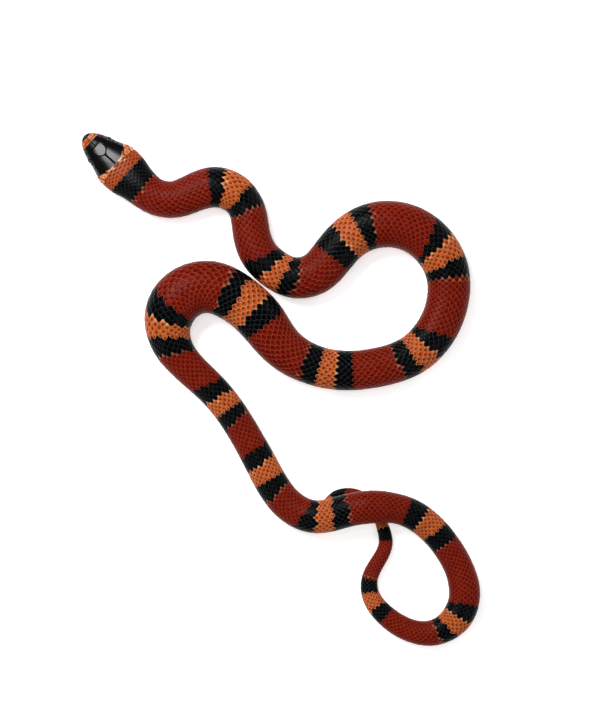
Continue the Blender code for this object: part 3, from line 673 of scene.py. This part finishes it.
def make_belly(finish):
    """Broad plates under the trunk, then pairs under the tail."""
    blank = sheet_blank(4, 20)
    along, across, z = blank[0].T
    fine, count, pitch_at = scale_steps()
    s = np.interp(np.arange(1, int(count[-1])), count, fine)
    s = s[(s > FIRST_BELLY_PLATE) & (s < SPINE_LENGTH - 4)]
    half = np.radians(180 - COAT_EDGE + 7)
    trunk, tail = s[s < VENT], s[s >= VENT]
    centre = np.r_[trunk, tail, tail]
    whole, pairs = np.ones(len(trunk)), np.ones(len(tail))
    low = np.r_[whole * (np.pi - half), pairs * (np.pi - half), pairs * np.pi]
    high = np.r_[whole * (np.pi + half), pairs * np.pi, pairs * (np.pi + half)]
    pitch = pitch_at(centre)
    bow = 0.16 * pitch[:, None] * (1 - across ** 2)
    s_at = centre[:, None] + along * pitch[:, None] * 0.62 + bow
    a_at = (low + high)[:, None] / 2 + across * (high - low)[:, None] / 2
    full = np.clip(pitch / 3.4, 0.3, 1.0)[:, None]
    height = -0.06 + 0.2 * ease(along, -1, 1) - 0.08 * ease(np.abs(across), 0.85, 1) * (z > -0.5)
    height = np.where(z < -0.5, height - 0.12, height)
    points = place(s_at, a_at, height * full - COAT_DEPTH)
    black, orange = marking(centre, np.pi * 0.8)
    values = {"black": black[:, None], "orange": orange[:, None],
              "chance": rng.random(len(centre))[:, None], "along": along, "across": across}
    spots = bake_spot(centre[:, None], a_at % (2 * np.pi) - np.pi, strip_of(centre)[:, None])
    spots = np.stack([spots[..., 0] + along * 0.004, spots[..., 1]], -1)
    obj = joined_copies("belly_plates", blank, points, values, spots)
    finish_piece(obj, finish, "scales")


# The head shields
def lip_shields(joints, direction):
    """Outlines along one lip: direction is -1 for the upper lip, 1 for the lower."""
    for front, back in zip(joints, joints[1:]):
        near, far = [], []
        for s in (front, back):
            mouth = float(np.degrees(mouth_angle(s)))
            near.append((s, mouth + direction * LIP_PARTING))
            far.append((s, mouth + direction * (LIP_PARTING + LIP_HEIGHT)))
        yield near + far[::-1]


def all_outlines():
    """Every shield's outline: the frontal and mental cross the middle, the others are the right side's."""
    outlines = [FRONTAL, MENTAL] + list(TOP_SHIELDS.values()) + list(SIDE_SHIELDS.values())
    outlines += list(CHIN_SHIELDS.values())
    return outlines + list(lip_shields(UPPER_LIP_JOINTS, -1)) + list(lip_shields(LOWER_LIP_JOINTS, 1))


def even_outline(outline, girth):
    """The outline in mm on the unrolled head, its corners rounded, read at even steps."""
    loop = np.array([(s, np.radians(a) * girth) for s, a in outline])
    for share in CORNER_ROUND:
        after = np.roll(loop, -1, axis=0)
        loop = np.stack([loop * (1 - share) + after * share, loop * share + after * (1 - share)], 1)
        loop = loop.reshape(-1, 2)
    closed = np.vstack([loop, loop[:1]])
    run = np.r_[0, np.cumsum(np.hypot(*np.diff(closed, axis=0).T))]
    steps = np.linspace(0, run[-1], SHIELD_SIDES, endpoint=False)
    return np.stack([np.interp(steps, run, closed[:, 0]), np.interp(steps, run, closed[:, 1])], -1)


def lay_shield(outline, side, blank, groove, centre=None):
    """Places and heights of one shield's corners; its rings gather at the centre, where one is given."""
    x, y, z = blank[0].T
    reach = np.hypot(x, y)
    girth = float(PROFILE[0](np.sqrt(np.mean([s for s, _ in outline]))))
    loop = even_outline(outline, girth)
    middle = loop.mean(0) if centre is None else np.array(centre) * (1, girth)
    step = np.rint(np.arctan2(y, x) / (2 * np.pi) * SHIELD_SIDES).astype(int) % SHIELD_SIDES
    spoke = loop[step] - middle
    length = np.maximum(np.hypot(*spoke.T), 1e-6)
    free = np.maximum(length - groove, 0.1)
    rim = np.minimum(SHIELD_RIM, free / 3)
    face = 1 - reach / HOLD_FROM
    hold = rim * (1 - HOLD_FROM) / (1 - FLAT_FROM)
    from_edge = np.where(reach > HOLD_FROM - 0.001, (1 - reach) / (1 - FLAT_FROM) * rim,
                         hold + face * (free - hold))
    s, a = (middle + spoke * ((free - from_edge) / length)[:, None]).T
    return s, side * a / girth, reach, z


def nostril(s, a):
    """1 in the nostril's floor, 0 outside it."""
    girth = PROFILE[0](np.sqrt(NOSTRIL_S))
    away = np.hypot(s - NOSTRIL_S, (np.abs(a) - NOSTRIL_ANGLE) * girth)
    return 1 - ease(away, NOSTRIL_INNER, NOSTRIL_OUTER)


def shield_height(s, a, reach, z):
    """Height of a shield's corners over the solids: a rounded rim, a gently domed face."""
    top = SHIELD_RISE * (1 - chin_share(a)) - 0.03 * chin_share(a)
    rim = ease(1 - reach, 0.0, 1 - FLAT_FROM)
    height = top * rim - 0.12 * (1 - rim) + SHIELD_DOME * (1 - reach ** 2) - NOSTRIL_DEPTH * nostril(s, a)
    return np.where(z < -0.5, -SHIELD_ROOT - NOSTRIL_DEPTH * nostril(s, a), height)


def make_shields(finish):
    blank = round_blank(SHIELD_SIDES, SHIELD_RIMS)
    parts = [lay_shield(FRONTAL, 1, blank, SHIELD_GROOVE), lay_shield(MENTAL, 1, blank, SIDE_GROOVE)]
    for outline in all_outlines()[2:]:
        groove = SHIELD_GROOVE if outline in TOP_SHIELDS.values() else SIDE_GROOVE
        centre = (NOSTRIL_S, NOSTRIL_ANGLE) if outline is SIDE_SHIELDS["nasal"] else None
        parts += [lay_shield(outline, side, blank, groove, centre) for side in (1, -1)]
    s, a, reach, z = (np.array(column) for column in zip(*parts))
    points = place(s, a, shield_height(s, a, reach, z))
    black, orange = marking(s, a)
    values = {"black": np.maximum(black, nostril(s, a)), "orange": orange, "cream": pale_marks(s, a),
              "reach": reach, "chance": rng.random(len(parts))[:, None]}
    spots = np.stack([s / 40, (a / (2 * np.pi) + 0.5)], -1)
    obj = joined_copies("head_shields", blank, points, values, spots)
    finish_piece(obj, finish, "head_shields")


def make_rostral(finish):
    """The plate round the snout tip over the mouth."""
    blank = round_blank(ROSTRAL_SIDES, ROSTRAL_RIMS)
    x, y, z = blank[0].T
    reach = np.hypot(x, y)
    a = np.arctan2(y, x)
    back = np.interp(np.degrees(np.abs(a)), *np.array(ROSTRAL_REACH).T)
    s = back * reach
    rim = ease(1 - reach, 0, 0.1)
    height = np.where(z < -0.5, -ROSTRAL_ROOT, ROSTRAL_RISE * rim - ROSTRAL_EDGE * (1 - rim))
    points = place(s, a, height)
    ahead = np.array([np.cos(HEADING[0]), np.sin(HEADING[0]), 0])
    points = points - ahead * (np.clip(0.5 - s, 0, 0.5) * 0.25)[:, None] * (z > -0.5)[:, None]
    black, orange = marking(s, a)
    values = {"black": black[None], "orange": orange[None], "cream": np.zeros((1, 1)),
              "reach": reach[None], "chance": np.full((1, 1), 0.5)}
    spots = np.stack([s / 40, (a / (2 * np.pi) + 0.5)], -1)[None]
    obj = joined_copies("rostral_shield", blank, points[None], values, spots)
    finish_piece(obj, finish, "head_shields")


# The eyes
def eye_place(side):
    """Middle of an eyeball and the way it looks."""
    heading = np.interp(EYE_S, RUN, HEADING)
    ahead = np.array([np.cos(heading), np.sin(heading), 0.0])
    right = np.array([np.sin(heading), -np.cos(heading), 0.0])
    centre = np.array([np.interp(EYE_S, RUN, LINE[:, 0]), np.interp(EYE_S, RUN, LINE[:, 1]), EYE_LEVEL])
    gaze = right * side * GAZE_OUT + ahead * GAZE_AHEAD + np.array([0, 0, GAZE_UP])
    return centre + right * side * EYE_SIDE, gaze / np.linalg.norm(gaze)


def move_mesh(obj, turn, shift):
    """Turns a new object's mesh and moves it to its place, in mm."""
    obj.data.transform(Vector(turn).to_track_quat("Z", "Y").to_matrix().to_4x4())
    obj.data.transform(Matrix.Translation(Vector(shift) * MM))
    obj.data.shade_smooth()


def make_eye(name, side, node, finish, rim_finish):
    centre, gaze = eye_place(side)
    select_none()
    bpy.ops.mesh.primitive_uv_sphere_add(segments=EYE_SIDES, ring_count=EYE_RINGS, radius=EYE_RADIUS * MM)
    obj = bpy.context.object
    obj.name = obj.data.name = name
    points = np.zeros((len(obj.data.vertices), 3))
    obj.data.vertices.foreach_get("co", points.ravel())
    facing = points[:, 2] / (EYE_RADIUS * MM)
    obj.data.attributes.new("facing", "FLOAT", "POINT").data.foreach_set("value", facing.astype(np.float32))
    move_mesh(obj, gaze, centre)
    finish_piece(obj, finish, "eyes", node)
    select_none()
    bpy.ops.mesh.primitive_torus_add(major_radius=(EYE_RADIUS ** 2 - EYE_RIM_BACK ** 2) ** 0.5 * MM,
                                     minor_radius=EYE_RIM * MM, major_segments=48, minor_segments=10)
    rim = bpy.context.object
    rim.name = rim.data.name = name + "_rim"
    move_mesh(rim, gaze, centre + gaze * EYE_RIM_BACK)
    finish_piece(rim, rim_finish, "head_shields")


# Finishes
class Value:
    """A socket that gives a number, with Python's operators."""

    def __init__(self, tree, socket):
        self.tree, self.socket = tree, socket

    def math(self, operation, first, second):
        node = self.tree.nodes.new("ShaderNodeMath")
        node.operation = operation
        for spot, value in zip(node.inputs, (first, second)):
            if isinstance(value, Value):
                self.tree.links.new(value.socket, spot)
            else:
                spot.default_value = value
        return Value(self.tree, node.outputs[0])

    def __add__(self, other):
        return self.math("ADD", self, other)

    def __sub__(self, other):
        return self.math("SUBTRACT", self, other)

    def __rsub__(self, other):
        return self.math("SUBTRACT", other, self)

    def __mul__(self, other):
        return self.math("MULTIPLY", self, other)

    __radd__, __rmul__ = __add__, __mul__


class Finish:
    """A material and its shader, with one way to add nodes."""

    def __init__(self, name, **sockets):
        self.material = bpy.data.materials.new(name)
        self.material.use_nodes = True
        self.tree = self.material.node_tree
        self.shader = self.tree.nodes["Principled BSDF"]
        for label, value in sockets.items():
            self.shader.inputs[label.replace("_", " ")].default_value = value

    def node(self, kind, settings, sockets, output=0):
        node = self.tree.nodes.new(kind)
        for label, value in settings.items():
            setattr(node, label, value)
        for label, value in sockets.items():
            if isinstance(value, Value):
                self.tree.links.new(value.socket, node.inputs[label])
            else:
                node.inputs[label].default_value = value
        return Value(self.tree, node.outputs[output])

    def number(self, name):
        return self.node("ShaderNodeAttribute", {"attribute_name": name}, {}, "Fac")

    def noise(self, scale, detail=3.0, stretch=(1, 1, 1)):
        place_at = self.node("ShaderNodeTexCoord", {}, {}, "Object")
        mapped = self.node("ShaderNodeMapping", {}, {"Vector": place_at, "Scale": stretch})
        sockets = {"Vector": mapped, "Scale": scale, "Detail": detail}
        return self.node("ShaderNodeTexNoise", {}, sockets, "Fac")

    def mix(self, share, first, second):
        """Colour between two colours."""
        sockets = {0: share, 6: first, 7: second}
        return self.node("ShaderNodeMix", {"data_type": "RGBA"}, sockets, 2)

    def smooth(self, value, low, high):
        """0 below low, 1 above high."""
        sockets = {"Value": value, "From Min": low, "From Max": high}
        return self.node("ShaderNodeMapRange", {"interpolation_type": "SMOOTHSTEP"}, sockets)

    def feed(self, socket, value):
        self.tree.links.new(value.socket, self.shader.inputs[socket])

    def bump(self, height, distance, strength=1.0):
        sockets = {"Height": height, "Distance": distance, "Strength": strength}
        self.feed("Normal", self.node("ShaderNodeBump", {}, sockets))


RED = (0.186, 0.0075, 0.0014, 1)
DEEP_RED = (0.122, 0.0036, 0.0008, 1)
RED_SPOT = (0.052, 0.0010, 0.0004, 1)
# The red and orange rim colours are partly the scales' pale edges and partly a painted highlight along
# them.
RED_RIM_AND_GLINT = (0.325, 0.066, 0.030, 1)
ORANGE = (0.480, 0.105, 0.016, 1)
DEEP_ORANGE = (0.370, 0.048, 0.007, 1)
PALE_ORANGE = (0.600, 0.210, 0.085, 1)
ORANGE_SPOT = (0.085, 0.006, 0.0015, 1)
ORANGE_RIM_AND_GLINT = (0.680, 0.290, 0.150, 1)
CREAM = (0.740, 0.450, 0.220, 1)
BLACK = (0.0006, 0.0004, 0.0007, 1)
# Painted teal glint for the rims of black scales.
BLACK_RIM_GLINT = (0.020, 0.029, 0.031, 1)
IRIS_DARK = (0.020, 0.009, 0.005, 1)
IRIS_PALE = (0.075, 0.030, 0.012, 1)
PUPIL = (0.001, 0.001, 0.001, 1)
FLOOR_DARK = (0.93, 0.93, 0.93, 1)
FLOOR_PALE = (0.96, 0.96, 0.96, 1)
SOFT_SHINE = 0.04        # specular level of the scales
SHIELD_SHINE = 0.24      # and of the head shields


def scale_finish():
    """Brick red or orange scales with a dark tip mark and a rim that is partly pale edge and partly painted
    highlight, or glossy black ones whose rims carry a painted teal glint.
    """
    f = Finish("scale_gloss", Specular_IOR_Level=SOFT_SHINE)
    black, orange, cream, chance = (f.number(n) for n in ("black", "orange", "cream", "chance"))
    along, across, reach = (f.number(n) for n in ("along", "across", "reach"))
    mottle, fine = f.noise(260.0), f.noise(1300.0)
    patch = f.noise(45.0)
    red = f.mix(chance * 0.5 + patch * 0.5, DEEP_RED, RED)
    warm = f.mix(chance * 0.5 + mottle * 0.5, DEEP_ORANGE, ORANGE)
    body = f.mix(orange, red, warm)
    # The pale rim is partly the scales' pale edge and partly a painted highlight along it.
    rim = f.mix(orange, RED_RIM_AND_GLINT, ORANGE_RIM_AND_GLINT)
    edge = f.smooth(reach, 0.78, 0.93)
    body = f.mix(edge * (0.4 + 0.6 * fine), body, rim)
    body = f.mix(cream * (1 - f.smooth(along, -0.35, 0.3)), body, CREAM)
    wide = across * across * 1.3
    tip = f.smooth(along + fine * 0.5 - wide, 0.05 + 0.3 * chance, 0.8)
    tip = tip * (1 - f.smooth(reach, 0.86, 0.95))
    body = f.mix(tip * (0.7 + 0.25 * mottle), body, f.mix(orange, RED_SPOT, ORANGE_SPOT))
    # Black scales get the teal rim colour along their rims: a painted glint.
    dark = f.mix(edge * (0.3 + 0.7 * fine), BLACK, BLACK_RIM_GLINT)
    f.feed("Base Color", f.mix(black, body, dark))
    f.feed("Roughness", 0.25 + mottle * 0.12 - black * 0.04)
    rim_height = f.smooth(reach, 0.66, 0.84) * (1 - f.smooth(reach, 0.88, 1.0))
    f.bump(rim_height + f.noise(1800.0) * 0.4, 0.00004, 0.6)
    return f.material


def belly_finish():
    f = Finish("belly_gloss", Specular_IOR_Level=SOFT_SHINE)
    black, orange, chance = f.number("black"), f.number("orange"), f.number("chance")
    along = f.number("along")
    mottle = f.noise(180.0)
    # The red varies at random towards the pale rim colour, which is partly a painted highlight.
    red = f.mix(chance * 0.5 + mottle * 0.5, RED, RED_RIM_AND_GLINT)
    body = f.mix(orange, red, PALE_ORANGE)
    # The plates' rear edge is paled towards the rim colour: partly a painted highlight.
    body = f.mix(f.smooth(along, 0.6, 1.0) * 0.5, body, ORANGE_RIM_AND_GLINT)
    f.feed("Base Color", f.mix(black, body, BLACK))
    f.feed("Roughness", 0.32 + mottle * 0.12)
    f.bump(f.noise(900.0), 0.00003, 0.4)
    return f.material


def skin_finish():
    f = Finish("skin_between_scales", Specular_IOR_Level=SOFT_SHINE)
    black, orange = f.number("black"), f.number("orange")
    mottle = f.noise(400.0)
    body = f.mix(orange, f.mix(mottle, RED_SPOT, DEEP_RED), f.mix(mottle, ORANGE_SPOT, ORANGE))
    f.feed("Base Color", f.mix(black, body, BLACK))
    f.feed("Roughness", 0.5 + mottle * 0.15)
    f.bump(f.noise(2400.0), 0.00004, 0.6)
    return f.material


def shield_finish():
    """Glossy black shields, and mottled peach to orange ones on the snout."""
    f = Finish("shield_gloss", Specular_IOR_Level=SHIELD_SHINE)
    black, orange, cream, chance = (f.number(n) for n in ("black", "orange", "cream", "chance"))
    reach = f.number("reach")
    mottle = f.noise(420.0)
    warm = f.mix(f.smooth(mottle + chance * 0.2, 0.4, 0.65), DEEP_ORANGE, PALE_ORANGE)
    warm = f.mix(f.smooth(f.noise(800.0), 0.55, 0.68) * 0.6, warm, ORANGE_SPOT)
    warm = f.mix(f.smooth(reach, 0.9, 0.98), warm, ORANGE_SPOT)
    warm = f.mix(cream, warm, CREAM)
    f.feed("Base Color", f.mix(black, warm, BLACK))
    f.feed("Roughness", 0.15 + mottle * 0.1)
    f.bump(f.noise(900.0), 0.00004, 0.35)
    return f.material


def rim_finish():
    f = Finish("eye_rim_gloss", Specular_IOR_Level=0.3)
    grain = f.noise(900.0)
    # Black specked at random with the teal rim colour: a painted glint.
    f.feed("Base Color", f.mix(grain, BLACK, BLACK_RIM_GLINT))
    f.feed("Roughness", 0.3 + grain * 0.1)
    return f.material


def eye_finish():
    f = Finish("eye_gloss", Specular_IOR_Level=0.3, Coat_Weight=0.4, Coat_Roughness=0.06)
    facing = f.number("facing")
    streak = f.noise(900.0)
    iris = f.mix(streak, IRIS_DARK, IRIS_PALE)
    pupil = f.smooth(facing, 0.855, 0.875)
    rim = 1 - f.smooth(facing, 0.60, 0.68)
    colour = f.mix(pupil, f.mix(rim, iris, BLACK), PUPIL)
    f.feed("Base Color", colour)
    f.feed("Roughness", 0.12 + streak * 0.05)
    return f.material


def floor_finish():
    f = Finish("pale_floor", Emission_Color=(1, 1, 1, 1), Emission_Strength=0.55)
    grain = f.noise(40.0)
    f.feed("Base Color", f.mix(grain, FLOOR_DARK, FLOOR_PALE))
    f.feed("Roughness", 0.8 + grain * 0.1)
    return f.material


# The stage
def make_camera():
    camera = bpy.data.cameras.new("camera")
    camera.sensor_width = SENSOR
    camera.lens = SENSOR * (CAMERA_LEVEL - VIEW_LEVEL) / VIEW_HEIGHT
    camera.clip_start, camera.clip_end = 0.05, 20
    obj = bpy.data.objects.new("camera", camera)
    obj.location = Vector((*VIEW_MIDDLE, CAMERA_LEVEL)) * MM
    bpy.context.scene.collection.objects.link(obj)
    bpy.context.scene.camera = obj


def soft_light(name, spot, size, energy):
    light = bpy.data.lights.new(name, "AREA")
    light.shape, light.size, light.size_y, light.energy = "RECTANGLE", size[0], size[1], energy
    obj = bpy.data.objects.new(name, light)
    obj.location = Vector(spot)
    obj.rotation_euler = Vector(spot).to_track_quat("Z", "Y").to_euler()
    bpy.context.scene.collection.objects.link(obj)


def make_stage():
    select_none()
    bpy.ops.mesh.primitive_circle_add(vertices=96, radius=3.0, fill_type="NGON")
    floor = bpy.context.object
    floor.name = floor.data.name = "floor"
    floor.data.materials.append(floor_finish())
    for name, spot, size, energy in SOFTBOXES:
        soft_light(name, spot, (size, size), energy)
    world = bpy.data.worlds.new("studio")
    world.use_nodes = True
    world.node_tree.nodes["Background"].inputs["Color"].default_value = (1, 1, 1, 1)
    world.node_tree.nodes["Background"].inputs["Strength"].default_value = WORLD_STRENGTH
    bpy.context.scene.world = world
    bpy.context.scene.view_settings.view_transform = "Standard"


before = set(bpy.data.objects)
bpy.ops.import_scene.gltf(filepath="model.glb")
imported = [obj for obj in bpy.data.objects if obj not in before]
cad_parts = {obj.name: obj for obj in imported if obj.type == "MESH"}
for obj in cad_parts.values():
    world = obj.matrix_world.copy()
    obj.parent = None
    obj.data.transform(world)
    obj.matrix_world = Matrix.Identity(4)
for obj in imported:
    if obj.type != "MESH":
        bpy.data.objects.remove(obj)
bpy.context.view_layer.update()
make_stage()
make_camera()
make_skin(skin_finish())
scale_gloss = scale_finish()
make_coat(scale_gloss)
make_belly(belly_finish())
shield_gloss = shield_finish()
make_shields(shield_gloss)
make_rostral(shield_gloss)
eye_gloss = eye_finish()
rim_gloss = rim_finish()
make_eye("right_eye", 1, "eye_right", eye_gloss, rim_gloss)
make_eye("left_eye", -1, "eye_left", eye_gloss, rim_gloss)
